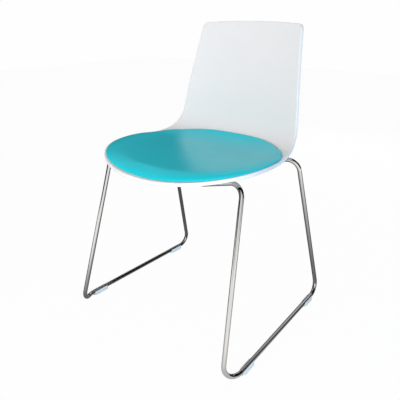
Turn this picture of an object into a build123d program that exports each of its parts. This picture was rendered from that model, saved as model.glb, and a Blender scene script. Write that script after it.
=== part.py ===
from build123d import *
from math import acos, asin, cos, hypot, pi, radians, sin, sqrt, tan
import os

# A visitor chair: one moulded shell on a bent-rod sled base, with an upholstered pad on the seat.
# Millimetres. Z is up, the sitter faces -Y, and the origin is on the floor under the middle of the chair.

# Side profile of the shell: four tangent arcs from the front edge of the seat to the top of the back
seat_height = 460.0
seat_front_y = -245.0
seat_run = 298.0
seat_crown_radius = 3850.0
seat_front_pitch = 1.8
cradle_radius = 350.0
cradle_pitch = 10.0
bend_radius = 75.0
back_pitch = 83.0
back_radius = 2000.0
profile_overrun = 25.0
section_overrun = 10.0
front_steps = 6
side_steps = 4

# The profile moves up and forward towards the sides, which dishes the seat and wraps the back
dish_width = 200.0
dish_rise = 15.5
wrap_radius = 545.0

# Outline of the shell, seen from above for the seat and from the front for the back
shell_half_width = 232.5
shell_widest_y = -56.0
front_roundness = 2.1
join_half_width = 200.5
side_taper_power = 1.75
back_low_half_width = 187.0
back_low_rise = 90.0
back_top_half_width = 157.7
back_top_height = 788.0
back_top_crown = 5.0
back_corner_radius = 21.0

# Walls of the shell
shell_wall = 4.5
rim_depth = 8.5
rim_width = 4.5
rim_round = 2.0
blank_depth = 30.0
rib_depth = 11.0
rib_width = 2.6

# Sled rods
rod_diameter = 12.0
crossbar_drop = 28.0
crossbar_flat_half = 100.0
crossbar_bend_radius = 60.0
front_shoulder = (214.0, -125.0)
front_shoulder_rise = 2.0
rear_shoulder = (221.5, 124.0)
rear_shoulder_rise = -4.5
shoulder_radius = 30.0
front_foot = (254.5, -247.0)
rear_foot = (261.0, 249.0)
foot_radius = 32.0
kick_angle = 22.5
kick_radius = 40.0
kick_straight = 2.0

# Floor glides clipped on the runners
glide_length = 54.0
glide_width = 16.0
glide_foot = 4.0
glide_wall = 2.2
glide_lip = 2.2
glide_clearance = 0.15
peg_diameter = 4.0
peg_height = 3.0
peg_clearance = 0.2

# Mounting plates and welds
plate_thickness = 3.0
plate_width = 30.0
plate_x = 70.0
plate_overhang = 10.0
plate_corner_radius = 6.0
weld_radius = 2.0
weld_length = 22.0
weld_gap = 0.05
butt_weld_width = 5.0
butt_weld_height = 1.0

# Screws that hold the shell on the plates
mount_inset = 27.0
screw_diameter = 6.0
screw_hole_clearance = 0.5
screw_head_diameter = 10.0
screw_head_height = 6.0
socket_width = 5.0
socket_depth = 3.0
washer_diameter = 14.0
washer_thickness = 1.6
insert_diameter = 8.5
insert_length = 9.0
fit_gap = 0.1
boss_diameter = 18.0

# Upholstered pad
pad_side_margin = 3.0
pad_front_margin = 9.5
pad_rear_y = 170.0
pad_level_z = 482.0
pad_reach = 45.0
pad_side_lean = 0.17
pad_rear_lean = 1.0
pad_front_roundness = 2.2
pad_rear_roundness = 2.3
pad_steps = 7
pad_edge_height = 9.0
pad_crown = 4.5
pad_edge_round = 5.5
soft_gap = 0.3
cover_thickness = 1.0
hem_width = 26.0
board_thickness = 4.0
board_inset = 14.0

# Screws that hold the pad on the shell
pad_screw_places = [(130.0, -55.0), (112.0, 62.0)]
pad_screw_diameter = 5.0
pad_screw_head_diameter = 9.5
pad_screw_head_height = 3.2
pad_washer_diameter = 13.0
pad_washer_thickness = 1.2
pad_boss_diameter = 18.0
pad_boss_height = 2.5
tee_nut_barrel = 7.5
tee_nut_flange = 16.0
tee_nut_flange_thickness = 1.2
tee_nut_sink = 1.0

rod_radius = rod_diameter / 2
runner_z = glide_foot + rod_radius
crossbar_z = seat_height - crossbar_drop
plate_bottom_z = crossbar_z + rod_radius
plate_top_z = plate_bottom_z + plate_thickness


# Shell surface

def arc_after(start, start_pitch, radius, end_pitch):
    centre = (start[0] - radius * sin(start_pitch), start[1] + radius * cos(start_pitch))
    end = (centre[0] + radius * sin(end_pitch), centre[1] - radius * cos(end_pitch))
    return centre, end


def wrap(x):
    return x**2 / (2 * wrap_radius)


def dish(x):
    return dish_rise * (x / dish_width) ** 2


seat_start = (seat_front_y, seat_height)
seat_start_pitch = radians(seat_front_pitch)
seat_end_pitch = asin(sin(seat_start_pitch) - seat_run / seat_crown_radius)
seat_centre, cradle_start = arc_after(seat_start, seat_start_pitch, -seat_crown_radius, seat_end_pitch)
cradle_centre, bend_start = arc_after(cradle_start, seat_end_pitch, cradle_radius, radians(cradle_pitch))
bend_centre, back_start = arc_after(bend_start, radians(cradle_pitch), bend_radius, radians(back_pitch))
back_length = back_top_height + profile_overrun - back_start[1]
back_end_pitch = radians(back_pitch) - back_length / back_radius
back_centre, back_end = arc_after(back_start, radians(back_pitch), -back_radius, back_end_pitch)
overrun_pitch = asin(sin(seat_start_pitch) + profile_overrun / seat_crown_radius)

# Each arc of the profile: centre, signed radius, pitch at its start and end, number of steps
profile_arcs = [
    (seat_centre, -seat_crown_radius, overrun_pitch, seat_end_pitch, 4),
    (cradle_centre, cradle_radius, seat_end_pitch, radians(cradle_pitch), 2),
    (bend_centre, bend_radius, radians(cradle_pitch), radians(back_pitch), 5),
    (back_centre, -back_radius, radians(back_pitch), back_end_pitch, 4),
]


def arc_point(arc, fraction):
    centre, radius, start_pitch, end_pitch, steps = arc
    pitch = start_pitch + (end_pitch - start_pitch) * fraction
    return centre[0] + radius * sin(pitch), centre[1] - radius * cos(pitch), pitch


profile_stations = [arc_point(profile_arcs[0], 0)]
for arc in profile_arcs:
    profile_stations += [arc_point(arc, (step + 1) / arc[4]) for step in range(arc[4])]


def surface_z(x, y):
    """Height of the shell's upper surface over the seat."""
    along = y + wrap(x)
    for centre, radius, start_pitch, end_pitch, steps in profile_arcs:
        if along <= centre[0] + radius * sin(end_pitch):
            break
    pitch = asin((along - centre[0]) / radius)
    return centre[1] - radius * cos(pitch) + dish(x)


def surface_y(x, z):
    """How far back the shell's front surface lies over the bend and the back."""
    rise = z - dish(x)
    for centre, radius, start_pitch, end_pitch, steps in profile_arcs[2:]:
        if rise <= centre[1] - radius * cos(end_pitch):
            break
    pitch = acos((centre[1] - rise) / radius)
    return centre[0] + radius * sin(pitch) - wrap(x)


section_reach = shell_half_width + section_overrun
section_places = [section_reach * step / 4 for step in range(-4, 5)]


def layer(low, high):
    """Sections of a layer that follows the shell surface, between two lifts above it."""
    sections = []
    for x in section_places:
        with BuildSketch(Plane(origin=(x, 0, 0), x_dir=(0, 1, 0), z_dir=(1, 0, 0))) as section:
            with BuildLine():
                sides = []
                for lift in (low, high):
                    points = []
                    for y, z, pitch in profile_stations:
                        rise = lift(x, y - wrap(x))
                        points.append((y - wrap(x) - rise * sin(pitch), z + dish(x) + rise * cos(pitch)))
                    sides.append(Spline(*points))
                Line(sides[0] @ 0, sides[1] @ 0)
                Line(sides[0] @ 1, sides[1] @ 1)
            make_face()
        sections.append(section.sketch)
    return sections


def even(lift):
    return lambda x, y: lift


# Outline of the shell, drawn square to a line of sight that sees seat and back alike

sight_plane = Plane(origin=(0, 0, 0), x_dir=(1, 0, 0), z_dir=(0, -1, 1))
join_pitch = radians(45.0)
join_y = bend_centre[0] + bend_radius * sin(join_pitch) - wrap(join_half_width)
back_low_z = bend_centre[1] - bend_radius * cos(join_pitch) + back_low_rise


def rounded(angle, half_width, half_depth, roundness):
    """A point of a rounded outline, from its widest point at 0 to its end at 90 degrees."""
    x = half_width * abs(cos(angle)) ** (2 / roundness)
    y = half_depth * abs(sin(angle)) ** (2 / roundness)
    return x, y


def on_sight(x, y, z):
    return x, sight_plane.to_local_coords(Vector(x, y, z)).Y


def shell_outline(inset):
    """Edge of the shell, drawn in by an inset."""
    widest = shell_half_width - inset
    narrow = join_half_width - inset
    low_half = back_low_half_width - inset
    top_half = back_top_half_width - inset
    front_depth = shell_widest_y - seat_front_y - inset
    top_z = back_top_height - inset
    corner_z = top_z - back_top_crown
    points = []
    for step in range(front_steps + 1):
        x, y = rounded(pi / 2 * (1 - step / front_steps), widest, front_depth, front_roundness)
        points.append(on_sight(x, shell_widest_y - y, surface_z(x, shell_widest_y - y)))
    for step in range(1, side_steps + 1):
        share = step / side_steps
        x = widest - (widest - narrow) * share**side_taper_power
        y = shell_widest_y + (join_y - shell_widest_y) * share
        points.append(on_sight(x, y, surface_z(x, y)))
    for share in (0, 0.5, 1):
        x = low_half + (top_half - low_half) * share
        z = back_low_z + (corner_z - back_low_z) * share
        points.append(on_sight(x, surface_y(x, z), z))
    with BuildSketch(sight_plane) as outline:
        with BuildLine():
            side = Spline(*points)
            mirror(side, about=Plane.YZ)
            corner = side @ 1
            ThreePointArc(corner, on_sight(0, surface_y(0, top_z), top_z), (-corner.X, corner.Y))
        make_face()
        corners = outline.vertices().filter_by(lambda vertex: abs(vertex.Y - corner.Y) < fit_gap)
        fillet(corners, radius=back_corner_radius - inset)
    return outline.sketch


def upper_face(part):
    return part.faces().sort_by(SortBy.AREA)[-2:].sort_by(Axis.Z)[-1]


# Seat shell

mount_y = [front_shoulder[1] + mount_inset, rear_shoulder[1] - mount_inset]
mount_places = [(side * plate_x, y) for side in (-1, 1) for y in mount_y]
pad_places = [(side * x, y) for side in (-1, 1) for x, y in pad_screw_places]
screw_hole = screw_diameter + screw_hole_clearance
pad_screw_hole = pad_screw_diameter + screw_hole_clearance


def pad_boss_bottom(x, y):
    return surface_z(x, y) - shell_wall - pad_boss_height


# The shell surface, trimmed to the outline
with BuildPart() as surface_slice:
    extrude(shell_outline(0), amount=back_top_height, both=True)
    loft(layer(even(-shell_wall), even(0)), mode=Mode.INTERSECT)

# The hollow behind the wall, inside the rim
with BuildPart() as rim_pocket:
    extrude(shell_outline(rim_width), amount=back_top_height, both=True)
    loft(layer(even(-rim_depth - rim_width), even(-shell_wall)), mode=Mode.INTERSECT)

# Under the seat: ribs from boss to boss, screw bosses for the plates and for the pad
with BuildPart() as seat_underside:
    with BuildSketch(Plane.XY.offset(plate_top_z)):
        Rectangle(2 * plate_x + rib_width, mount_y[1] - mount_y[0] + rib_width)
        Rectangle(2 * plate_x - rib_width, mount_y[1] - mount_y[0] - rib_width, mode=Mode.SUBTRACT)
        with Locations((0, (mount_y[0] + mount_y[1]) / 2)):
            Rectangle(2 * plate_x, rib_width)
    extrude(amount=seat_height - plate_top_z)
    loft(layer(even(-rib_depth), even(-shell_wall / 2)), mode=Mode.INTERSECT)
    for x, y in mount_places:
        with BuildSketch(Plane.XY.offset(plate_top_z)):
            with Locations((x, y)):
                Circle(boss_diameter / 2)
        extrude(amount=surface_z(x, y) - shell_wall / 2 - plate_top_z)
    with Locations(*[(x, y, plate_top_z) for x, y in mount_places]):
        Cylinder(insert_diameter / 2 + fit_gap, insert_length + fit_gap, mode=Mode.SUBTRACT,
                 align=(Align.CENTER, Align.CENTER, Align.MIN))
    for x, y in pad_places:
        with BuildSketch(Plane.XY.offset(pad_boss_bottom(x, y))):
            with Locations((x, y)):
                Circle(pad_boss_diameter / 2)
        extrude(amount=pad_boss_height + shell_wall / 2)

with BuildPart() as seat_shell:
    thicken(upper_face(surface_slice.part), amount=-blank_depth)
    loft(layer(even(-2 * blank_depth), even(-rim_depth)), mode=Mode.SUBTRACT)
    fillet(upper_face(seat_shell.part).edges(), radius=rim_round)
    add(rim_pocket.part, mode=Mode.SUBTRACT)
    add(seat_underside.part)
    with Locations(*[(x, y, seat_height) for x, y in pad_places]):
        Cylinder(pad_screw_hole / 2, seat_height / 2, mode=Mode.SUBTRACT)

# Sled rods

def turn_angle(before, after):
    return radians(Vector(*before).get_angle(Vector(*after)))


def away(start, end):
    return tuple(b - a for a, b in zip(start, end))


front_corner = (*front_shoulder, seat_height + front_shoulder_rise)
rear_corner = (*rear_shoulder, seat_height + rear_shoulder_rise)
front_bottom = (*front_foot, runner_z)
rear_bottom = (*rear_foot, runner_z)
kick_way = (sin(radians(kick_angle)), cos(radians(kick_angle)), 0)
foot_turn = turn_angle(away(front_corner, front_bottom), kick_way)
kick_length = foot_radius * tan(foot_turn / 2) + kick_straight + kick_radius * tan(radians(kick_angle) / 2)
runner_start = tuple(a + kick_length * b for a, b in zip(front_bottom, kick_way))
runner_length = hypot(*away(runner_start, rear_bottom))
runner_way = tuple(c / runner_length for c in away(runner_start, rear_bottom))
rear_turn = turn_angle(runner_way, away(rear_bottom, rear_corner))

rod_route = [
    (0, front_shoulder[1], crossbar_z),
    (crossbar_flat_half, front_shoulder[1], crossbar_z),
    front_corner,
    front_bottom,
    runner_start,
    rear_bottom,
    rear_corner,
    (crossbar_flat_half, rear_shoulder[1], crossbar_z),
    (0, rear_shoulder[1], crossbar_z),
]
rod_bends = [
    crossbar_bend_radius,
    shoulder_radius,
    foot_radius,
    kick_radius,
    foot_radius,
    shoulder_radius,
    crossbar_bend_radius,
]

# Each glide sits on the straight runner, just past the bend at its end
front_glide_at = kick_radius * tan(radians(kick_angle) / 2) + glide_length / 2
rear_glide_at = runner_length - foot_radius * tan(rear_turn / 2) - glide_length / 2
glide_centres = {
    "front": tuple(a + front_glide_at * b for a, b in zip(runner_start, runner_way)),
    "rear": tuple(a + rear_glide_at * b for a, b in zip(runner_start, runner_way)),
}

with BuildPart() as right_sled_rod:
    with BuildLine() as route:
        FilletPolyline(*rod_route, radius=rod_bends)
    with BuildSketch(Plane(origin=route.line @ 0, z_dir=route.line % 0)):
        Circle(rod_radius)
    sweep(path=route.line)
    with Locations(*[(x, y, glide_foot) for x, y, z in glide_centres.values()]):
        Cylinder(peg_diameter / 2 + peg_clearance, 2 * (peg_height + peg_clearance), mode=Mode.SUBTRACT)

with BuildPart() as left_sled_rod:
    mirror(right_sled_rod.part, about=Plane.YZ)

# Floor glides

glides = {}
for end, centre in glide_centres.items():
    across = Plane(origin=centre, x_dir=(-runner_way[1], runner_way[0], 0), z_dir=runner_way)
    along = Plane(origin=(centre[0], centre[1], 0), x_dir=runner_way, z_dir=(0, 0, 1))
    with BuildPart() as right_glide:
        with BuildSketch(across):
            Circle(rod_radius + glide_clearance + glide_wall)
            with Locations((0, -runner_z / 2)):
                Rectangle(glide_width, runner_z)
            with Locations((0, glide_lip)):
                Rectangle(2 * glide_width, glide_width, align=(Align.CENTER, Align.MIN), mode=Mode.SUBTRACT)
            Circle(rod_radius + glide_clearance, mode=Mode.SUBTRACT)
        extrude(amount=glide_length / 2, both=True)
        with BuildSketch(along):
            SlotOverall(glide_length, glide_width)
        extrude(amount=2 * runner_z, mode=Mode.INTERSECT)
        with Locations((centre[0], centre[1], glide_foot / 2)):
            Cylinder(peg_diameter / 2, glide_foot / 2 + peg_height,
                     align=(Align.CENTER, Align.CENTER, Align.MIN))
    with BuildPart() as left_glide:
        mirror(right_glide.part, about=Plane.YZ)
    glides[f"{end}_right_glide"] = right_glide
    glides[f"{end}_left_glide"] = left_glide

# Mounting plates

plate_front_y = front_shoulder[1] - plate_overhang
plate_rear_y = rear_shoulder[1] + plate_overhang

with BuildPart() as right_mounting_plate:
    with BuildSketch(Plane.XY.offset(plate_bottom_z)):
        with Locations((plate_x, (plate_front_y + plate_rear_y) / 2)):
            RectangleRounded(plate_width, plate_rear_y - plate_front_y, plate_corner_radius)
        with Locations(*[(plate_x, y) for y in mount_y]):
            Circle(screw_hole / 2, mode=Mode.SUBTRACT)
    extrude(amount=plate_thickness)

with BuildPart() as left_mounting_plate:
    mirror(right_mounting_plate.part, about=Plane.YZ)

# Welds: a bead in each corner between a plate and a crossbar, and a ring where the two rods meet

weld_z = plate_bottom_z - weld_radius - weld_gap
weld_reach = rod_radius + weld_radius + weld_gap
weld_offset = sqrt(weld_reach**2 - (weld_z - crossbar_z) ** 2)

with BuildPart() as plate_weld_beads:
    bead_places = []
    for y in (front_shoulder[1], rear_shoulder[1]):
        for side in (-1, 1):
            for way in (-1, 1):
                bead_places.append((side * plate_x, y + way * weld_offset, weld_z))
    with Locations(*bead_places):
        Cylinder(weld_radius, weld_length, rotation=(0, 90, 0))
    fillet(plate_weld_beads.edges().filter_by(GeomType.CIRCLE), radius=weld_radius / 2)

butt_weld_inner = rod_radius + weld_gap

with BuildPart() as rod_butt_welds:
    for y in (front_shoulder[1], rear_shoulder[1]):
        with BuildSketch(Plane(origin=(0, y, crossbar_z), x_dir=(1, 0, 0), z_dir=(0, -1, 0))):
            with BuildLine():
                base = Line((-butt_weld_width / 2, butt_weld_inner), (butt_weld_width / 2, butt_weld_inner))
                ThreePointArc(base @ 0, (0, butt_weld_inner + butt_weld_height), base @ 1)
            make_face()
        revolve(axis=Axis((0, y, crossbar_z), (1, 0, 0)))

# Screws, washers and inserts between the plates and the shell

washer_bottom_z = plate_bottom_z - washer_thickness

with BuildPart() as shell_screw_washers:
    with BuildSketch(Plane.XY.offset(washer_bottom_z)):
        with Locations(*mount_places):
            Circle(washer_diameter / 2)
            Circle(screw_hole / 2, mode=Mode.SUBTRACT)
    extrude(amount=washer_thickness)

with BuildPart() as shell_screws:
    with BuildSketch(Plane.XY.offset(washer_bottom_z - screw_head_height)):
        with Locations(*mount_places):
            Circle(screw_head_diameter / 2)
    extrude(amount=screw_head_height)
    with BuildSketch(Plane.XY.offset(washer_bottom_z)):
        with Locations(*mount_places):
            Circle(screw_diameter / 2)
    extrude(amount=plate_top_z + insert_length - washer_bottom_z)
    with BuildSketch(Plane.XY.offset(washer_bottom_z - screw_head_height)):
        with Locations(*mount_places):
            RegularPolygon(socket_width / 2, 6, major_radius=False)
    extrude(amount=socket_depth, mode=Mode.SUBTRACT)

with BuildPart() as shell_inserts:
    with BuildSketch(Plane.XY.offset(plate_top_z)):
        with Locations(*mount_places):
            Circle(insert_diameter / 2)
            Circle(screw_diameter / 2 + fit_gap, mode=Mode.SUBTRACT)
    extrude(amount=insert_length)

# Upholstered pad: cover, foam and board follow the shell surface

pad_front_y = seat_front_y + pad_front_margin
pad_half_width = shell_half_width - pad_side_margin
pad_middle_y = (pad_front_y + pad_rear_y) / 2
pad_half_depth = (pad_rear_y - pad_front_y) / 2
inside_inset = cover_thickness + soft_gap
board_bottom = soft_gap + inside_inset
board_top = board_bottom + board_thickness


def pad_top(inset):
    """Lift of the crowned top of the pad above the shell, lowered by an inset."""
    return lambda x, y: (
        pad_edge_height
        + pad_crown * (1 - (x / pad_half_width) ** 2) * (1 - ((y - pad_middle_y) / pad_half_depth) ** 2)
        - inset
    )


def pad_outline(inset, z):
    """The pad at one height, drawn in by an inset; its sides lean in to stand square on the shell."""
    rise = z - pad_level_z
    half_width = pad_half_width - pad_side_lean * rise - inset * hypot(1, pad_side_lean)
    rear_depth = pad_rear_y - shell_widest_y - pad_rear_lean * rise - inset * hypot(1, pad_rear_lean)
    front_depth = shell_widest_y - pad_front_y - inset
    points = []
    halves = [(1, rear_depth, pad_rear_roundness), (-1, front_depth, pad_front_roundness)]
    for way, depth, roundness in halves:
        for step in range(2 * pad_steps):
            x, y = rounded(pi / 2 * step / pad_steps, half_width, depth, roundness)
            side = way if step < pad_steps else -way
            points.append((side * x, shell_widest_y + way * y))
    with BuildSketch(Plane.XY.offset(z)) as outline:
        with BuildLine():
            Spline(*points, periodic=True)
        make_face()
    return outline.sketch


def pad_sides(inset):
    return [pad_outline(inset, pad_level_z - pad_reach), pad_outline(inset, pad_level_z + pad_reach)]


with BuildPart() as hem_opening:
    loft(pad_sides(hem_width), ruled=True)
    loft(layer(even(0), even(board_top)), mode=Mode.INTERSECT)

with BuildPart() as cover_inside:
    loft(pad_sides(cover_thickness), ruled=True)
    loft(layer(even(soft_gap + cover_thickness), pad_top(cover_thickness)), mode=Mode.INTERSECT)
    fillet(upper_face(cover_inside.part).edges(), radius=pad_edge_round - cover_thickness)
    add(hem_opening.part)

with BuildPart() as pad_cover:
    loft(pad_sides(0), ruled=True)
    loft(layer(even(soft_gap), pad_top(0)), mode=Mode.INTERSECT)
    fillet(upper_face(pad_cover.part).edges(), radius=pad_edge_round)
    add(cover_inside.part, mode=Mode.SUBTRACT)

# The board's room in the foam, which wraps the board's edge
with BuildPart() as board_room:
    loft(pad_sides(board_inset - soft_gap), ruled=True)
    loft(layer(even(0), even(board_top + soft_gap)), mode=Mode.INTERSECT)

with BuildPart() as pad_foam:
    loft(pad_sides(inside_inset), ruled=True)
    loft(layer(even(board_bottom), pad_top(inside_inset)), mode=Mode.INTERSECT)
    fillet(upper_face(pad_foam.part).edges(), radius=pad_edge_round - inside_inset)
    add(board_room.part, mode=Mode.SUBTRACT)

with BuildPart() as pad_board:
    loft(pad_sides(board_inset), ruled=True)
    loft(layer(even(board_bottom), even(board_top)), mode=Mode.INTERSECT)
    for x, y in pad_places:
        flange_top = surface_z(x, y) + board_top - tee_nut_sink
        with Locations((x, y, flange_top - tee_nut_flange_thickness - fit_gap)):
            Cylinder(tee_nut_flange / 2 + fit_gap, board_thickness, mode=Mode.SUBTRACT,
                     align=(Align.CENTER, Align.CENTER, Align.MIN))
        with Locations((x, y, flange_top)):
            Cylinder(tee_nut_barrel / 2 + fit_gap, 4 * board_thickness, mode=Mode.SUBTRACT)

with BuildPart() as pad_tee_nuts:
    for x, y in pad_places:
        flange_top = surface_z(x, y) + board_top - tee_nut_sink
        barrel_bottom = surface_z(x, y) + board_bottom
        with BuildSketch(Plane.XY.offset(barrel_bottom)):
            with Locations((x, y)):
                Circle(tee_nut_barrel / 2)
        extrude(amount=flange_top - barrel_bottom)
        with BuildSketch(Plane.XY.offset(flange_top - tee_nut_flange_thickness)):
            with Locations((x, y)):
                Circle(tee_nut_flange / 2)
        extrude(amount=tee_nut_flange_thickness)
        with Locations((x, y, flange_top)):
            Cylinder(pad_screw_diameter / 2 + fit_gap, 4 * board_thickness, mode=Mode.SUBTRACT)

with BuildPart() as pad_screw_washers:
    for x, y in pad_places:
        with BuildSketch(Plane.XY.offset(pad_boss_bottom(x, y) - pad_washer_thickness)):
            with Locations((x, y)):
                Circle(pad_washer_diameter / 2)
                Circle(pad_screw_hole / 2, mode=Mode.SUBTRACT)
        extrude(amount=pad_washer_thickness)

with BuildPart() as pad_screws:
    for x, y in pad_places:
        seat = pad_boss_bottom(x, y) - pad_washer_thickness
        tip = surface_z(x, y) + board_top - tee_nut_sink
        with BuildSketch(Plane.XY.offset(seat - pad_screw_head_height)):
            with Locations((x, y)):
                Circle(pad_screw_head_diameter / 2)
        extrude(amount=pad_screw_head_height)
        with BuildSketch(Plane.XY.offset(seat)):
            with Locations((x, y)):
                Circle(pad_screw_diameter / 2)
        extrude(amount=tip - seat)

# Hand-off: one file for each piece

pieces = {
    "seat_shell": seat_shell,
    "right_sled_rod": right_sled_rod,
    "left_sled_rod": left_sled_rod,
    **glides,
    "right_mounting_plate": right_mounting_plate,
    "left_mounting_plate": left_mounting_plate,
    "plate_weld_beads": plate_weld_beads,
    "rod_butt_welds": rod_butt_welds,
    "shell_screws": shell_screws,
    "shell_screw_washers": shell_screw_washers,
    "shell_inserts": shell_inserts,
    "pad_cover": pad_cover,
    "pad_foam": pad_foam,
    "pad_board": pad_board,
    "pad_tee_nuts": pad_tee_nuts,
    "pad_screws": pad_screws,
    "pad_screw_washers": pad_screw_washers,
}
os.makedirs("parts", exist_ok=True)
for name, piece in pieces.items():
    piece.part.label = name
    export_step(piece.part, f"parts/{name}.step")
    print(name, len(piece.part.solids()), round(piece.part.volume), piece.part.is_valid)
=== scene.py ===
import bmesh
import bpy
import numpy as np
from math import asin, cos, hypot, pi, radians, sin, sqrt, tan
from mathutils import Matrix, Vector


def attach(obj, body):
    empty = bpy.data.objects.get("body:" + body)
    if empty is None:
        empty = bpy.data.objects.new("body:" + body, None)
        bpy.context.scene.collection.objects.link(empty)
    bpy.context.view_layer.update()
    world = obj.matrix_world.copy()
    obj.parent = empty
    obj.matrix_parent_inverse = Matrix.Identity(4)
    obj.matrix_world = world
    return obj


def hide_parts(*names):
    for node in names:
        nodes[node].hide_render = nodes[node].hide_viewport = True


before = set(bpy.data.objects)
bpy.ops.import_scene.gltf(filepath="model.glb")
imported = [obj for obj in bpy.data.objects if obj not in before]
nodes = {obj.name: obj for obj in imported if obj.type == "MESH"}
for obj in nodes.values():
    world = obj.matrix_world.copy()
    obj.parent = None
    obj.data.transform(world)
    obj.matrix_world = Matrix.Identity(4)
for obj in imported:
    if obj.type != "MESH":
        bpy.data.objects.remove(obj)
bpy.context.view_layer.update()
scene = bpy.context.scene
print("frame loaded, nodes:", len(nodes))

mm = 0.001  # the chair is written in millimetres and scaled on the way into Blender
samePoint = 0.001  # points of a mesh that are nearer than this, in millimetres, become one


# small helpers

def link(obj):
    scene.collection.objects.link(obj)
    return obj


def meshObject(name, points, faces, smooth=True):
    mesh = bpy.data.meshes.new(name)
    mesh.from_pydata([tuple(p) for p in points], [], faces)
    work = bmesh.new()
    work.from_mesh(mesh)
    bmesh.ops.remove_doubles(work, verts=work.verts, dist=samePoint * mm)
    bmesh.ops.recalc_face_normals(work, faces=work.faces)
    work.to_mesh(mesh)
    work.free()
    mesh.polygons.foreach_set("use_smooth", [smooth] * len(mesh.polygons))
    mesh.update()
    return link(bpy.data.objects.new(name, mesh))


def finishPiece(obj, material, slotName, *replaced):
    # every piece is on the chair's one body and stands for the CAD nodes that it replaces
    obj.data.materials.clear()
    obj.data.materials.append(material)
    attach(obj, "root")
    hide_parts(*replaced)


def bakeModifiers(obj):
    # what the modifiers make becomes the object's own mesh
    graph = bpy.context.evaluated_depsgraph_get()
    baked = bpy.data.meshes.new_from_object(obj.evaluated_get(graph))
    obj.modifiers.clear()
    obj.data = baked


# node trees

def addNode(tree, kind, values=None, **settings):
    # a node with its settings, and with values on the inputs that nothing feeds
    node = tree.nodes.new(kind)
    for label, setting in settings.items():
        setattr(node, label, setting)
    for label, value in (values or {}).items():
        node.inputs[label].default_value = value
    return node


def addMath(tree, operation, values=None):
    return addNode(tree, "ShaderNodeMath", values, operation=operation)


def addRamp(tree, low, high, bottom=0.0, top=1.0, ends="LINEAR"):
    # takes the values between low and high to the range from bottom to top
    return addNode(tree, "ShaderNodeMapRange", {
        "From Min": low, "From Max": high, "To Min": bottom, "To Max": top}, interpolation_type=ends)


def wire(tree, *links):
    # each link is a node, its output, the next node and its input
    for source, output, target, entry in links:
        tree.links.new(source.outputs[output], target.inputs[entry])


def newTree(name, kind, inputs, outputs):
    # a node tree with its named sockets; an input may bring a value of its own
    tree = bpy.data.node_groups.new(name, kind)
    for label, socketKind, *value in inputs:
        socket = tree.interface.new_socket(label, in_out="INPUT", socket_type="NodeSocket" + socketKind)
        if value:
            socket.default_value = value[0]
    for label, socketKind in outputs:
        tree.interface.new_socket(label, in_out="OUTPUT", socket_type="NodeSocket" + socketKind)
    return tree, tree.nodes.new("NodeGroupInput"), tree.nodes.new("NodeGroupOutput")


def growNodes(obj, group, values):
    # runs a tree of Geometry Nodes on an object and keeps the result as its plain mesh
    modifier = obj.modifiers.new(group.name, "NODES")
    modifier.node_group = group
    for item in group.interface.items_tree:
        if item.in_out == "INPUT" and item.name in values:
            modifier[item.identifier] = values[item.name]
    bakeModifiers(obj)


# shader groups that several materials share

tintForm = {"driftDetail": 4.0, "hollowShadeColour": (0, 0, 0, 1)}


def buildTintGroup():
    # slow colour drift over a surface, the way moulded or dyed batches vary, with darker hollows: painted
    # shade in the grain's hollows
    tree, inputs, outputs = newTree(
        "surfaceTint", "ShaderNodeTree",
        [("Light", "Color", (1, 1, 1, 1)), ("Dark", "Color", (0.5, 0.5, 0.5, 1)), ("Scale", "Float", 8.0),
         ("Hollows", "Float", 0.0), ("Hollow Shade", "Float", 0.0)],
        [("Color", "Color")])
    place = addNode(tree, "ShaderNodeTexCoord")
    noise = addNode(tree, "ShaderNodeTexNoise", {"Detail": tintForm["driftDetail"]})
    mix = addNode(tree, "ShaderNodeMix", data_type="RGBA")
    # the hollows mask times the amount mixes the colour towards black: painted shade
    sunk = addMath(tree, "MULTIPLY")
    shade = addNode(tree, "ShaderNodeMix", {"B": tintForm["hollowShadeColour"]}, data_type="RGBA")
    wire(tree,
         (place, "Object", noise, "Vector"),
         (inputs, "Scale", noise, "Scale"),
         (noise, "Fac", mix, "Factor"),
         (inputs, "Light", mix, "A"),
         (inputs, "Dark", mix, "B"),
         (inputs, "Hollows", sunk, 0),
         (inputs, "Hollow Shade", sunk, 1),
         (sunk, "Value", shade, "Factor"),
         (mix, "Result", shade, "A"),
         (shade, "Result", outputs, "Color"))
    return tree


grainForm = {
    "creaseScale": 2.3, "creaseDetail": 3.0, "creaseShare": 0.4, "hollowFrom": 0.45, "hollowFull": 0.8,
    "cloudScale": 22.0, "cloudDetail": 6.0, "height": 0.4,
}


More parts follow.
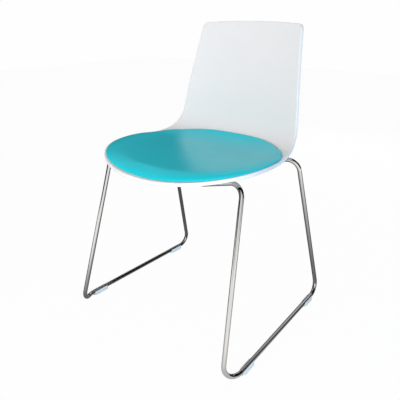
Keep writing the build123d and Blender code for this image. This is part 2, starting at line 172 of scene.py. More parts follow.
def buildGrainGroup():
    # pressed pebbles under finer creases: a normal, a matching roughness and a mask of the hollows
    tree, inputs, outputs = newTree(
        "fineGrain", "ShaderNodeTree",
        [("Scale", "Float", 900.0), ("Depth", "Float", 0.1), ("Smooth", "Float", 0.3),
         ("Rough", "Float", 0.4)],
        [("Normal", "Vector"), ("Roughness", "Float"), ("Hollows", "Float")])
    place = addNode(tree, "ShaderNodeTexCoord")
    cells = addNode(tree, "ShaderNodeTexVoronoi", feature="SMOOTH_F1")
    finer = addMath(tree, "MULTIPLY", {1: grainForm["creaseScale"]})
    creases = addNode(tree, "ShaderNodeTexNoise", {"Detail": grainForm["creaseDetail"]})
    relief = addMath(tree, "MULTIPLY_ADD", {1: grainForm["creaseShare"]})
    hollows = addRamp(tree, grainForm["hollowFrom"], grainForm["hollowFull"])
    clouds = addNode(tree, "ShaderNodeTexNoise", {
        "Scale": grainForm["cloudScale"], "Detail": grainForm["cloudDetail"]})
    bump = addNode(tree, "ShaderNodeBump", {"Distance": grainForm["height"] * mm}, invert=True)
    spread = addNode(tree, "ShaderNodeMapRange")
    wire(tree,
         (place, "Object", cells, "Vector"),
         (place, "Object", creases, "Vector"),
         (place, "Object", clouds, "Vector"),
         (inputs, "Scale", cells, "Scale"),
         (inputs, "Scale", finer, 0),
         (finer, "Value", creases, "Scale"),
         (creases, "Fac", relief, 0),
         (cells, "Distance", relief, 2),
         (relief, "Value", bump, "Height"),
         (inputs, "Depth", bump, "Strength"),
         (bump, "Normal", outputs, "Normal"),
         (cells, "Distance", hollows, "Value"),
         (hollows, "Result", outputs, "Hollows"),
         (clouds, "Fac", spread, "Value"),
         (inputs, "Smooth", spread, "To Min"),
         (inputs, "Rough", spread, "To Max"),
         (spread, "Result", outputs, "Roughness"))
    return tree


marksForm = {
    "turn": (0.3, 0.2, 0.6), "stretch": (1.0, 11.0, 11.0), "streakDetail": 2.0,
    "streakFrom": 0.52, "streakFull": 0.7, "patchScale": 9.0, "patchFrom": 0.45, "patchFull": 0.7,
}


def buildMarksGroup():
    # faint rub marks: short streaks in patches, and more of them along an edge
    tree, inputs, outputs = newTree(
        "rubMarks", "ShaderNodeTree",
        [("Roughness", "Float", 0.3), ("Scale", "Float", 60.0), ("Amount", "Float", 0.1),
         ("Edge", "Float", 0.0)],
        [("Roughness", "Float")])
    place = addNode(tree, "ShaderNodeTexCoord")
    stretch = addNode(tree, "ShaderNodeMapping", {
        "Rotation": marksForm["turn"], "Scale": marksForm["stretch"]})
    streaks = addNode(tree, "ShaderNodeTexNoise", {"Detail": marksForm["streakDetail"]})
    sharp = addRamp(tree, marksForm["streakFrom"], marksForm["streakFull"])
    patches = addNode(tree, "ShaderNodeTexNoise", {"Scale": marksForm["patchScale"]})
    where = addRamp(tree, marksForm["patchFrom"], marksForm["patchFull"])
    spread = addMath(tree, "MAXIMUM")
    worn = addMath(tree, "MULTIPLY")
    total = addMath(tree, "MULTIPLY_ADD")
    wire(tree,
         (place, "Object", stretch, "Vector"),
         (stretch, "Vector", streaks, "Vector"),
         (inputs, "Scale", streaks, "Scale"),
         (streaks, "Fac", sharp, "Value"),
         (place, "Object", patches, "Vector"),
         (patches, "Fac", where, "Value"),
         (where, "Result", spread, 0),
         (inputs, "Edge", spread, 1),
         (sharp, "Result", worn, 0),
         (spread, "Value", worn, 1),
         (worn, "Value", total, 0),
         (inputs, "Amount", total, 1),
         (inputs, "Roughness", total, 2),
         (total, "Value", outputs, "Roughness"))
    return tree


tintGroup = buildTintGroup()
grainGroup = buildGrainGroup()
marksGroup = buildMarksGroup()


def surfaceMaterial(look):
    material = bpy.data.materials.new(look["name"])
    material.use_nodes = True
    tree = material.node_tree
    shader = tree.nodes["Principled BSDF"]
    tint = addNode(tree, "ShaderNodeGroup", {
        "Light": (*look["light"], 1), "Dark": (*look["dark"], 1), "Scale": look["drift"],
        "Hollow Shade": look.get("paintedHollowShade", 0)}, node_tree=tintGroup)
    grain = addNode(tree, "ShaderNodeGroup", {
        "Scale": look["grainScale"], "Depth": look["grainDepth"],
        "Smooth": look["smooth"], "Rough": look["rough"]}, node_tree=grainGroup)
    marks = addNode(tree, "ShaderNodeGroup", {"Amount": look.get("rub", 0)}, node_tree=marksGroup)
    rim = addNode(tree, "ShaderNodeAttribute", attribute_name="rim")
    wire(tree,
         (grain, "Hollows", tint, "Hollows"),
         (tint, "Color", shader, "Base Color"),
         (rim, "Fac", marks, "Edge"),
         (grain, "Roughness", marks, "Roughness"),
         (marks, "Roughness", shader, "Roughness"),
         (grain, "Normal", shader, "Normal"))
    for label, value in look.get("shader", {}).items():
        shader.inputs[label].default_value = value
    return material


# paintedHollowShade in each look is how much painted shade darkens the grain's hollows
shellLook = {
    "name": "shellPlastic", "light": (0.74, 0.73, 0.735), "dark": (0.71, 0.705, 0.715), "drift": 5.0,
    "grainScale": 1500.0, "grainDepth": 0.05, "paintedHollowShade": 0.02,
    "smooth": 0.26, "rough": 0.34, "rub": 0.16,
    "shader": {"Specular IOR Level": 0.45, "Subsurface Weight": 0.08, "Subsurface Scale": 0.004},
}
padLook = {
    "name": "padLeatherette", "light": (0.0015, 0.57, 0.66), "dark": (0.001, 0.515, 0.61), "drift": 6.0,
    "grainScale": 800.0, "grainDepth": 0.12, "paintedHollowShade": 0.08,
    "smooth": 0.32, "rough": 0.39, "rub": 0.05,
    "shader": {"Specular IOR Level": 0.65},
}
chromeLook = {
    "name": "rodChrome", "light": (0.79, 0.78, 0.76), "dark": (0.68, 0.665, 0.65), "drift": 14.0,
    "grainScale": 2600.0, "grainDepth": 0.015,
    "smooth": 0.05, "rough": 0.13, "rub": 0.1,
    "shader": {"Metallic": 1.0},
}
glideLook = {
    "name": "glidePlastic", "light": (0.69, 0.725, 0.745), "dark": (0.64, 0.68, 0.705), "drift": 40.0,
    "grainScale": 1800.0, "grainDepth": 0.06, "paintedHollowShade": 0.03,
    "smooth": 0.3, "rough": 0.45, "rub": 0.2,
    "shader": {"Subsurface Weight": 0.12, "Subsurface Scale": 0.002},
}
zincLook = {
    "name": "fastenerZinc", "light": (0.62, 0.63, 0.64), "dark": (0.48, 0.48, 0.47), "drift": 120.0,
    "grainScale": 2200.0, "grainDepth": 0.12, "paintedHollowShade": 0.1,
    "smooth": 0.22, "rough": 0.45, "rub": 0.15,
    "shader": {"Metallic": 1.0},
}
brassLook = {
    "name": "insertBrass", "light": (0.72, 0.55, 0.24), "dark": (0.55, 0.40, 0.16), "drift": 120.0,
    "grainScale": 2000.0, "grainDepth": 0.1, "paintedHollowShade": 0.1,
    "smooth": 0.25, "rough": 0.4, "rub": 0.15,
    "shader": {"Metallic": 1.0},
}

shellPlastic = surfaceMaterial(shellLook)
padLeather = surfaceMaterial(padLook)
rodChrome = surfaceMaterial(chromeLook)
glidePlastic = surfaceMaterial(glideLook)
fastenerZinc = surfaceMaterial(zincLook)
insertBrass = surfaceMaterial(brassLook)
print("materials made")


# the moulded surface: one side profile, moved up and forward towards the sides

profile = {
    "seatHeight": 460.0, "frontY": -245.0, "seatRun": 298.0, "seatCrown": 3850.0, "frontPitch": 1.8,
    "cradleRadius": 350.0, "cradlePitch": 10.0, "bendRadius": 75.0, "backPitch": 83.0,
    "backRadius": 2000.0, "topZ": 788.0, "overrun": 25.0,
    "dishWidth": 200.0, "dishRise": 15.5, "wrapRadius": 545.0,
}


def wrap(x):
    return x**2 / (2 * profile["wrapRadius"])


def dish(x):
    return profile["dishRise"] * (x / profile["dishWidth"]) ** 2


def arcAfter(start, startPitch, radius, endPitch):
    centre = (start[0] - radius * sin(startPitch), start[1] + radius * cos(startPitch))
    end = (centre[0] + radius * sin(endPitch), centre[1] - radius * cos(endPitch))
    return (centre[0], centre[1], radius, endPitch), end


def profileArcs():
    frontPitch = radians(profile["frontPitch"])
    seatPitch = asin(sin(frontPitch) - profile["seatRun"] / profile["seatCrown"])
    cradlePitch = radians(profile["cradlePitch"])
    backPitch = radians(profile["backPitch"])
    start = (profile["frontY"], profile["seatHeight"])
    seat, start = arcAfter(start, frontPitch, -profile["seatCrown"], seatPitch)
    cradle, start = arcAfter(start, seatPitch, profile["cradleRadius"], cradlePitch)
    bend, start = arcAfter(start, cradlePitch, profile["bendRadius"], backPitch)
    topPitch = backPitch - (profile["topZ"] + profile["overrun"] - start[1]) / profile["backRadius"]
    back = arcAfter(start, backPitch, -profile["backRadius"], topPitch)[0]
    return [seat, cradle, bend, back]


arcs = profileArcs()


def surfacePitch(x, sight):
    # sight is how far up the oblique line of sight a point lies: y + z
    along = sight + wrap(x) - dish(x)
    pitch = np.zeros_like(along)
    found = np.zeros(along.shape, bool)
    arcIndex = np.zeros(along.shape, int)
    for index, (centreY, centreZ, radius, endPitch) in enumerate(arcs):
        last = index == len(arcs) - 1
        inside = ~found & ((along <= centreY + centreZ + radius * (sin(endPitch) - cos(endPitch))) | last)
        ratio = np.clip((along - centreY - centreZ) / (radius * sqrt(2)), -1, 1)
        pitch = np.where(inside, pi / 4 + np.arcsin(ratio), pitch)
        arcIndex = np.where(inside, index, arcIndex)
        found |= inside
    return pitch, arcIndex


def surfacePoints(x, sight):
    # places and normals of the surface
    x = np.asarray(x, float)
    sight = np.asarray(sight, float)
    pitch, arcIndex = surfacePitch(x, sight)
    table = np.array(arcs)
    centreY, centreZ, radius = table[arcIndex, 0], table[arcIndex, 1], table[arcIndex, 2]
    y = centreY + radius * np.sin(pitch) - wrap(x)
    z = centreZ - radius * np.cos(pitch) + dish(x)
    leanY = -x / profile["wrapRadius"]
    leanZ = 2 * profile["dishRise"] * x / profile["dishWidth"] ** 2
    normal = np.stack([leanY * np.sin(pitch) - leanZ * np.cos(pitch), -np.sin(pitch), np.cos(pitch)], -1)
    normal /= np.linalg.norm(normal, axis=-1, keepdims=True)
    return np.stack([x, y, z], -1), normal


solving = {"steps": 60, "stride": 0.5, "sightLow": 300.0, "sightHigh": 1200.0}


def surfaceZ(x, y):
    # height of the surface over a point of the seat, by a few steps along the line of sight
    x = np.asarray(x, float)
    z = np.full(x.shape, profile["seatHeight"])
    for step in range(solving["steps"]):
        z = z + solving["stride"] * (surfacePoints(x, y + z)[0][..., 2] - z)
    return z


def surfaceSight(x, z):
    # y + z of the surface where the back is as high as z
    low = solving["sightLow"]
    high = solving["sightHigh"]
    for step in range(solving["steps"]):
        middle = (low + high) / 2
        if surfacePoints(x, middle)[0][2] < z:
            low = middle
        else:
            high = middle
    return (low + high) / 2


# outlines, as loops of (x, sight)

def splineThrough(points, count):
    points = np.array(points, float)
    steps = np.hypot(*np.diff(points, axis=0).T)
    knots = np.concatenate([[0], np.cumsum(steps)])
    size = len(points)
    matrix = np.eye(size)
    right = np.zeros((size, 2))
    for i in range(1, size - 1):
        matrix[i, i - 1:i + 2] = steps[i - 1], 2 * (steps[i - 1] + steps[i]), steps[i]
        right[i] = 6 * ((points[i + 1] - points[i]) / steps[i] - (points[i] - points[i - 1]) / steps[i - 1])
    second = np.linalg.solve(matrix, right)
    at = np.linspace(0, knots[-1], count)
    index = np.clip(np.searchsorted(knots, at, side="right") - 1, 0, size - 2)
    h = steps[index][:, None]
    a = (knots[index + 1][:, None] - at[:, None]) / h
    b = 1 - a
    return (a * points[index] + b * points[index + 1]
            + ((a**3 - a) * second[index] + (b**3 - b) * second[index + 1]) * h**2 / 6)


def roundedPoint(angle, halfWidth, halfDepth, roundness):
    return (halfWidth * abs(cos(angle)) ** (2 / roundness), halfDepth * abs(sin(angle)) ** (2 / roundness))


outline = {
    "halfWidth": 232.5, "widestY": -56.0, "frontRoundness": 2.1, "frontSteps": 6, "sideSteps": 4,
    "joinHalfWidth": 200.5, "taperPower": 1.75, "lowHalfWidth": 187.0, "lowRise": 90.0,
    "topHalfWidth": 157.7, "topCrown": 5.0, "cornerRadius": 21.0,
    # points along the edge, and how many of them give its direction at the middle and the corner
    "sideSamples": 1600, "crownSamples": 200, "cornerSamples": 30,
    "mirrorSteps": 3, "sideChord": 20, "crownChord": 8,
}


def direction(start, end):
    return (end - start) / np.linalg.norm(end - start)


def roundCorner(side, crown, radius):
    # sight runs sqrt(2) longer than lengths in the oblique plane
    flat = np.array([1, 1 / sqrt(2)])
    first = side * flat
    second = crown * flat
    corner = first[-1]
    inWay = direction(first[-outline["sideChord"]], corner)
    outWay = direction(second[0], second[outline["crownChord"]])
    turn = np.arccos(np.clip(inWay @ outWay, -1, 1))
    reach = radius * tan(turn / 2)
    first = first[np.linalg.norm(first - corner, axis=1) > reach]
    second = second[np.linalg.norm(second - corner, axis=1) > reach]
    inside = np.array([-inWay[1], inWay[0]])
    if inside @ outWay < 0:
        inside = -inside
    centre = corner - inWay * reach + inside * radius
    angles = np.linspace(0, turn, outline["cornerSamples"])
    bend = np.array([centre - inside * radius * cos(a) + inWay * radius * sin(a) for a in angles])
    return np.concatenate([first, bend, second]) / flat


def shellLoop():
    widestY = outline["widestY"]
    frontDepth = widestY - profile["frontY"]
    bendY, bendZ, bendRadius = arcs[2][:3]  # the bend between seat and back
    join = pi / 4
    joinY = bendY + bendRadius * sin(join) - wrap(outline["joinHalfWidth"])
    lowZ = bendZ - bendRadius * cos(join) + outline["lowRise"]
    cornerZ = profile["topZ"] - outline["topCrown"]
    points = []
    for step in range(outline["frontSteps"] + 1):
        angle = pi / 2 * (1 - step / outline["frontSteps"])
        x, y = roundedPoint(angle, outline["halfWidth"], frontDepth, outline["frontRoundness"])
        points.append((x, widestY - y + float(surfaceZ(x, widestY - y))))
    for step in range(1, outline["sideSteps"] + 1):
        share = step / outline["sideSteps"]
        taper = (outline["halfWidth"] - outline["joinHalfWidth"]) * share ** outline["taperPower"]
        x = outline["halfWidth"] - taper
        y = widestY + (joinY - widestY) * share
        points.append((x, y + float(surfaceZ(x, y))))
    for share in (0, 0.5, 1):
        x = outline["lowHalfWidth"] + (outline["topHalfWidth"] - outline["lowHalfWidth"]) * share
        points.append((x, surfaceSight(x, lowZ + (cornerZ - lowZ) * share)))
    mirrored = [(-x, sight) for x, sight in points[outline["mirrorSteps"]:0:-1]]
    side = splineThrough(mirrored + points, outline["sideSamples"])
    side = side[np.argmax(side[:, 0] >= 0):]
    side[0, 0] = 0
    top = surfaceSight(0, profile["topZ"])
    corner = side[-1]
    crownShare = np.linspace(0, 1, outline["crownSamples"])
    crownSight = corner[1] + (top - corner[1]) * (1 - (1 - crownShare) ** 2)
    crown = np.stack([corner[0] * (1 - crownShare), crownSight], -1)
    half = roundCorner(side, crown, outline["cornerRadius"])
    other = half[-2:0:-1] * np.array([-1, 1])
    return np.concatenate([half, other])


def evenLoop(loop, count):
    # the same closed loop with its points evenly apart on the surface
    closed = np.concatenate([loop, loop[:1]])
    places = surfacePoints(closed[:, 0], closed[:, 1])[0]
    walked = np.concatenate([[0], np.cumsum(np.linalg.norm(np.diff(places, axis=0), axis=1))])
    at = np.linspace(0, walked[-1], count, endpoint=False)
    return np.stack([np.interp(at, walked, closed[:, 0]), np.interp(at, walked, closed[:, 1])], -1)


def loopFrame(loop):
    # place, normal and inward direction at each point of a loop
    places, normals = surfacePoints(loop[:, 0], loop[:, 1])
    ahead = np.roll(places, -1, axis=0) - np.roll(places, 1, axis=0)
    ahead /= np.linalg.norm(ahead, axis=1, keepdims=True)
    inward = np.cross(normals, ahead)
    return places, normals, inward


def column(values):
    # one value for a whole loop, or one for each of its points
    return np.asarray(values, float).reshape(-1, 1)


def insetLoop(loop, inset):
    places, normals, inward = loopFrame(loop)
    moved = places + inward * column(inset)
    return np.stack([moved[:, 0], moved[:, 1] + moved[:, 2]], -1)


def gridCount(rings):
    # points of a square grid
    return (2 * rings + 1) ** 2


def edgeCount(rings):
    # points of its outer ring
    return 8 * rings


def ringWalk(ring):
    # the points of one square ring round the middle, in the order of the loop
    walk = [(i, -ring) for i in range(ring)]
    walk += [(ring, j) for j in range(-ring, ring)]
    walk += [(i, ring) for i in range(ring, -ring, -1)]
    walk += [(-ring, j) for j in range(ring, -ring, -1)]
    return walk + [(i, -ring) for i in range(-ring, 0)]


def ringGrid(loop, rings, centre):
    # a square grid drawn out to the loop, so that every edge point is a grid point
    size = 2 * rings + 1
    flat = np.zeros((size, size, 2))
    flat[rings, rings] = centre
    closed = np.concatenate([loop, loop[:1]])
    share = np.arange(len(closed)) / len(loop)
    for ring in range(1, rings + 1):
        for step, (i, j) in enumerate(ringWalk(ring)):
            at = step / edgeCount(ring)
            edge = np.array([np.interp(at, share, closed[:, 0]), np.interp(at, share, closed[:, 1])])
            flat[i + rings, j + rings] = centre + (edge - centre) * ring / rings
    return flat


def ringEdge(rings):
    # indices of the grid's outer points, in the order of the loop
    return [(i + rings) * (2 * rings + 1) + j + rings for i, j in ringWalk(rings)]


def gridFaces(rings, start, flip):
    size = 2 * rings + 1
    faces = []
    for i in range(size - 1):
        for j in range(size - 1):
            quad = [start + i * size + j, start + (i + 1) * size + j,
                    start + (i + 1) * size + j + 1, start + i * size + j + 1]
            faces.append(quad[::-1] if flip else quad)
    return faces


def bandFaces(before, now):
    # the quads between two closed rows of points
    count = len(now)
    return [[before[k], now[k], now[(k + 1) % count], before[(k + 1) % count]] for k in range(count)]


def wrappedSheet(loop, rings, centre, section, topLift, bottomLift):
    # a closed body over the surface: a top grid, rings down its edge section and a bottom grid
    outer = evenLoop(loop, edgeCount(rings))
    topFlat = ringGrid(insetLoop(outer, section[0][0]), rings, centre)
    bottomFlat = ringGrid(insetLoop(outer, section[-1][0]), rings, centre)
    points = []
    for flat, lift in ((topFlat, topLift), (bottomFlat, bottomLift)):
        places, normals = surfacePoints(flat[..., 0].ravel(), flat[..., 1].ravel())
        points += list(places + normals * lift(places)[:, None])
    size = gridCount(rings)
    faces = gridFaces(rings, 0, False) + gridFaces(rings, size, True)
    edge = ringEdge(rings)
    before = edge
    places, normals, inward = loopFrame(outer)
    for inset, lift in section[1:-1]:
        now = list(range(len(points), len(points) + len(outer)))
        points += list(places + inward * column(inset) + normals * column(lift))
        faces += bandFaces(before, now)
        before = now
    faces += bandFaces(before, [size + k for k in edge])
    return points, faces


def even(lift):
    return lambda places: np.full(len(places), float(lift))


# seat and back shell

shellForm = {
    "rings": 60, "centre": (0.0, 640.0), "wall": 4.5, "sharpAngle": 40,
    # inset and lift of the rim's section, from the upper face round to the underside
    "rim": [(2.0, 0.0), (1.24, -0.15), (0.59, -0.59), (0.15, -1.24), (0.0, -2.0), (0.0, -4.4), (0.0, -6.8),
            (0.2, -7.8), (0.8, -8.4), (1.5, -8.5), (3.2, -8.5), (4.1, -8.3), (4.5, -7.6), (4.5, -6.2),
            (4.7, -5.0), (5.4, -4.5)],
}
underside = {
    "plateX": 70.0, "mountY": (-98.0, 97.0), "plateTop": 441.0, "root": 3.0, "segments": 48,
    # the ribs' free edge is narrower and rounded, as a moulded rib's is
    "ribWidth": 2.6, "ribDepth": 11.0, "ribSteps": 24, "ribFoot": 0.72, "ribTip": 0.52, "ribRound": 0.4,
    "bossRadius": 9.0, "holeChamfer": 0.3,
    "mountBoss": {"edge": 0.6, "draft": 0.4, "hole": 4.35, "holeDepth": 9.1},
    "padScrews": ((130.0, -55.0), (112.0, 62.0)), "padBossDepth": 7.0,
    "padBoss": {"height": 4.0, "edge": 0.5, "draft": 0.2, "hole": 2.75, "holeDepth": 3.0},
}
mountPlaces = [(x, y) for x in (-underside["plateX"], underside["plateX"]) for y in underside["mountY"]]
padPlaces = [(side * x, y) for side in (-1, 1) for x, y in underside["padScrews"]]


def turned(rings, segments, place=(0, 0, 0)):
    # a turned form: each ring is (radius, height) or (radius, height, corners) for a many-sided one;
    # a first ring with no radius closes it at the axis, otherwise the last ring joins the first
    points = []
    faces = []
    for ring in rings:
        radius, height = ring[:2]
        corners = ring[2] if len(ring) > 2 else 0
        for k in range(segments):
            angle = 2 * pi * k / segments
            reach = radius
            if corners:
                part = 2 * pi / corners
                reach = radius / cos((angle % part) - part / 2)
            points.append((place[0] + reach * cos(angle), place[1] + reach * sin(angle), place[2] + height))
    for r in range(len(rings) - 1):
        low = r * segments
        high = low + segments
        for k in range(segments):
            after = (k + 1) % segments
            faces.append([low + k, low + after, high + after, high + k])
    if rings[0][0] > 0:
        last = (len(rings) - 1) * segments
        faces += [[last + k, last + (k + 1) % segments, (k + 1) % segments, k] for k in range(segments)]
    return points, faces


def ribStrip(start, end):
    # a thin wall under the seat that follows the moulded surface
    steps = underside["ribSteps"]
    share = np.linspace(0, 1, steps)
    xs = start[0] + (end[0] - start[0]) * share
    ys = start[1] + (end[1] - start[1]) * share
    zs = surfaceZ(xs, ys)
    length = hypot(end[0] - start[0], end[1] - start[1])
    across = np.array((-(end[1] - start[1]), end[0] - start[0])) / length * underside["ribWidth"] / 2
    depth = underside["ribDepth"]
    half = [(1, -underside["root"]), (underside["ribFoot"], underside["ribRound"] - depth),
            (underside["ribTip"], -depth)]
    section = half + [(-out, drop) for out, drop in half[::-1]]
    points = []
    for x, y, z in zip(xs, ys, zs):
        points += [(x + across[0] * out, y + across[1] * out, z + drop) for out, drop in section]
    size = len(section)
    faces = []
    for k in range(steps - 1):
        for s in range(size):
            after = (s + 1) % size
            faces.append([k * size + s, (k + 1) * size + s, (k + 1) * size + after, k * size + after])
    last = (steps - 1) * size
    faces += [list(range(size)), [last + s for s in range(size)][::-1]]
    return points, faces


def boss(place, height, edge, draft, hole, holeDepth):
    # a moulded boss with a blind hole from below
    radius = underside["bossRadius"]
    chamfer = underside["holeChamfer"]
    rings = [(0, holeDepth), (hole, holeDepth), (hole, chamfer), (hole + chamfer, 0),
             (radius - edge, 0), (radius, edge), (radius + draft, height), (0, height)]
    return turned(rings, underside["segments"], place)


def gather(parts):
    points = []
    faces = []
    for partPoints, partFaces in parts:
        start = len(points)
        points += [tuple(p) for p in partPoints]
        faces += [[start + k for k in face] for face in partFaces]
    return points, faces


def undersideParts():
    parts = []
    front, rear = underside["mountY"]
    middle = (front + rear) / 2
    reach = underside["plateX"]
    base = underside["plateTop"]
    for y in (front, middle, rear):
        parts.append(ribStrip((-reach, y), (reach, y)))
    for x in (-reach, reach):
        parts.append(ribStrip((x, front), (x, rear)))
    for x, y in mountPlaces:
        height = float(surfaceZ(x, y)) - underside["root"] - base
        parts.append(boss((x, y, base), height=height, **underside["mountBoss"]))
    for x, y in padPlaces:
        place = (x, y, float(surfaceZ(x, y)) - underside["padBossDepth"])
        parts.append(boss(place, **underside["padBoss"]))
    return parts


shellSheet = wrappedSheet(shellLoop(), shellForm["rings"], np.array(shellForm["centre"]), shellForm["rim"],
                          even(0), even(-shellForm["wall"]))
shellPoints, shellFaces = gather([shellSheet] + undersideParts())
shell = meshObject("seatShell", np.array(shellPoints) * mm, shellFaces)
shell.data.set_sharp_from_angle(angle=radians(shellForm["sharpAngle"]))
rimStart = 2 * gridCount(shellForm["rings"])  # the rim's points follow those of the two grids
rimEnd = rimStart + edgeCount(shellForm["rings"]) * (len(shellForm["rim"]) - 2)
rimMask = np.zeros(len(shell.data.vertices), np.float32)
rimMask[rimStart:rimEnd] = 1.0
shell.data.attributes.new("rim", "FLOAT", "POINT").data.foreach_set("value", rimMask)
finishPiece(shell, shellPlastic, "shell_plastic", "seat_shell")
print("shell made,", len(shellFaces), "faces")


# seat pad

padForm = {
    "rings": 36, "halfWidth": 229.0, "frontY": -235.5, "rearY": 167.0, "middleY": -40.0,
    "roundness": 2.3, "gap": 0.4, "edgeSamples": 480,
    # thickness over the shell at the sides, and how much more it is along the middle, front and rear
    "sideLift": 8.0, "frontFill": 7.0, "rearFill": 0.5,
    # the edge rolls down, broadly at the front and tightly at the rear, to a low foot and turns under
    "frontReach": 32.0, "rearReach": 10.0, "reachPower": 0.8, "rollPower": 1.65, "foot": 1.2,
    "rollSteps": 12, "hem": [(0.2, 0.7), (1.0, 0.4), (4.0, 0.4)],
    # how the cover swells, how far it may move, and how its upper side is evened out
    "simFrames": 20, "pressure": 1.5, "stretchStiffness": 25, "shearStiffness": 15, "bendStiffness": 20,
    "cap": 2.0, "leastMove": 1e-9, "softRings": 3, "smoothFactor": 0.5, "smoothRounds": 12,
    "finerLevels": 1,
}


def rearShare(y):
    # 0 at the pad's front edge, 1 at its rear edge
    return np.clip((y - padForm["frontY"]) / (padForm["rearY"] - padForm["frontY"]), 0, 1)


def padTop(places):
    # thickness of the pad over the shell
    across = np.clip(1 - (places[:, 0] / padForm["halfWidth"]) ** 2, 0, 1)
    rear = rearShare(places[:, 1]) ** 2
    fill = padForm["frontFill"] + (padForm["rearFill"] - padForm["frontFill"]) * rear
    return padForm["sideLift"] + fill * across


def padSection(loop):
    places, normals, inward = loopFrame(loop)
    rear = rearShare(places[:, 1]) ** padForm["reachPower"]
    reach = padForm["frontReach"] + (padForm["rearReach"] - padForm["frontReach"]) * rear
    height = padTop(places + inward * column(reach)) - padForm["foot"]
    section = []
    power = padForm["rollPower"]
    for step in range(padForm["rollSteps"] + 1):
        out = sin(pi / 2 * step / padForm["rollSteps"])
        section.append((reach * (1 - out), padForm["foot"] + height * (1 - out**power) ** (1 / power)))
    return section + padForm["hem"]


def padLoop():
    points = []
    for step in range(padForm["edgeSamples"]):
        angle = 2 * pi * step / padForm["edgeSamples"] - pi / 2
        rear = sin(angle) > 0
        depth = padForm["rearY"] - padForm["middleY"] if rear else padForm["middleY"] - padForm["frontY"]
        x, y = roundedPoint(angle, padForm["halfWidth"], depth, padForm["roundness"])
        points.append((x if cos(angle) > 0 else -x, padForm["middleY"] + (y if rear else -y)))
    points = np.array(points)
    return np.stack([points[:, 0], points[:, 1] + surfaceZ(points[:, 0], points[:, 1])], -1)


padEdge = evenLoop(padLoop(), edgeCount(padForm["rings"]))
padCentre = np.array((0.0, padForm["middleY"] + profile["seatHeight"]))
padPoints, padFaces = wrappedSheet(
    padEdge, padForm["rings"], padCentre, padSection(padEdge), padTop, even(padForm["gap"]))
pad = meshObject("seatPad", np.array(padPoints) * mm, padFaces)


def swellPad(obj):
    # pressure inside the cover, with the underside held on the board
    rest = np.array([v.co for v in obj.data.vertices])
    gridSize = gridCount(padForm["rings"])
    held = obj.vertex_groups.new(name="held")
    held.add(list(range(gridSize, 2 * gridSize)), 1.0, "REPLACE")
    cloth = obj.modifiers.new("swell", "CLOTH")
    cloth.settings.vertex_group_mass = "held"
    cloth.settings.use_pressure = True
    cloth.settings.uniform_pressure_force = padForm["pressure"]
    cloth.settings.tension_stiffness = padForm["stretchStiffness"]
    cloth.settings.compression_stiffness = padForm["stretchStiffness"]
    cloth.settings.shear_stiffness = padForm["shearStiffness"]
    cloth.settings.bending_stiffness = padForm["bendStiffness"]
    cloth.settings.effector_weights.gravity = 0
    cloth.point_cache.frame_end = padForm["simFrames"]
    for moment in range(1, padForm["simFrames"] + 1):
        scene.frame_set(moment)
    bakeModifiers(obj)
    scene.frame_set(1)
    moved = np.array([v.co for v in obj.data.vertices]) - rest
    far = np.linalg.norm(moved, axis=1, keepdims=True)
    cap = padForm["cap"] * mm
    kept = rest + moved * np.minimum(1, cap / np.maximum(far, padForm["leastMove"]))
    obj.data.vertices.foreach_set("co", kept.ravel())
    obj.data.update()
    upper = obj.vertex_groups.new(name="upper")
    roll = padForm["softRings"] * edgeCount(padForm["rings"])
    upper.add(list(range(gridSize)) + list(range(2 * gridSize, 2 * gridSize + roll)), 1.0, "REPLACE")
    smooth = obj.modifiers.new("smooth", "SMOOTH")
    smooth.vertex_group = "upper"
    smooth.factor = padForm["smoothFactor"]
    smooth.iterations = padForm["smoothRounds"]
    bakeModifiers(obj)
    print("pad swelled, largest move in mm:", round(float(far.max()) / mm, 2))


swellPad(pad)
finer = pad.modifiers.new("finer", "SUBSURF")
finer.levels = padForm["finerLevels"]
finer.render_levels = padForm["finerLevels"]
bakeModifiers(pad)
pad.vertex_groups.clear()
finishPiece(pad, padLeather, "pad_leatherette", "pad_cover", "pad_foam", "pad_board")
print("pad made")


# sled rods, swept along their bent route

rod = {
    "radius": 6.0, "crossbarZ": 432.0, "flatHalf": 100.0, "crossbarBend": 60.0,
    "frontShoulder": (214.0, -125.0, 462.0), "rearShoulder": (221.5, 124.0, 455.5), "shoulderBend": 30.0,
    "frontFoot": (254.5, -247.0, 10.0), "rearFoot": (261.0, 249.0, 10.0), "footBend": 32.0,
    "kickAngle": 22.5, "kickBend": 40.0, "kickStraight": 2.0, "bendSteps": 18, "sides": 48,
}


def rodRoute():
    kick = Vector((sin(radians(rod["kickAngle"])), cos(radians(rod["kickAngle"])), 0))
    shoulder = Vector(rod["frontShoulder"])
    foot = Vector(rod["frontFoot"])
    turn = (foot - shoulder).angle(kick)
    kickLength = (rod["footBend"] * tan(turn / 2) + rod["kickStraight"]
                  + rod["kickBend"] * tan(radians(rod["kickAngle"]) / 2))
    frontY = rod["frontShoulder"][1]
    rearY = rod["rearShoulder"][1]
    return [
        ((0, frontY, rod["crossbarZ"]), 0),
        ((rod["flatHalf"], frontY, rod["crossbarZ"]), rod["crossbarBend"]),
        (rod["frontShoulder"], rod["shoulderBend"]),
        (rod["frontFoot"], rod["footBend"]),
        (tuple(foot + kick * kickLength), rod["kickBend"]),
        (rod["rearFoot"], rod["footBend"]),
        (rod["rearShoulder"], rod["shoulderBend"]),
        ((rod["flatHalf"], rearY, rod["crossbarZ"]), rod["crossbarBend"]),
        ((0, rearY, rod["crossbarZ"]), 0),
    ]


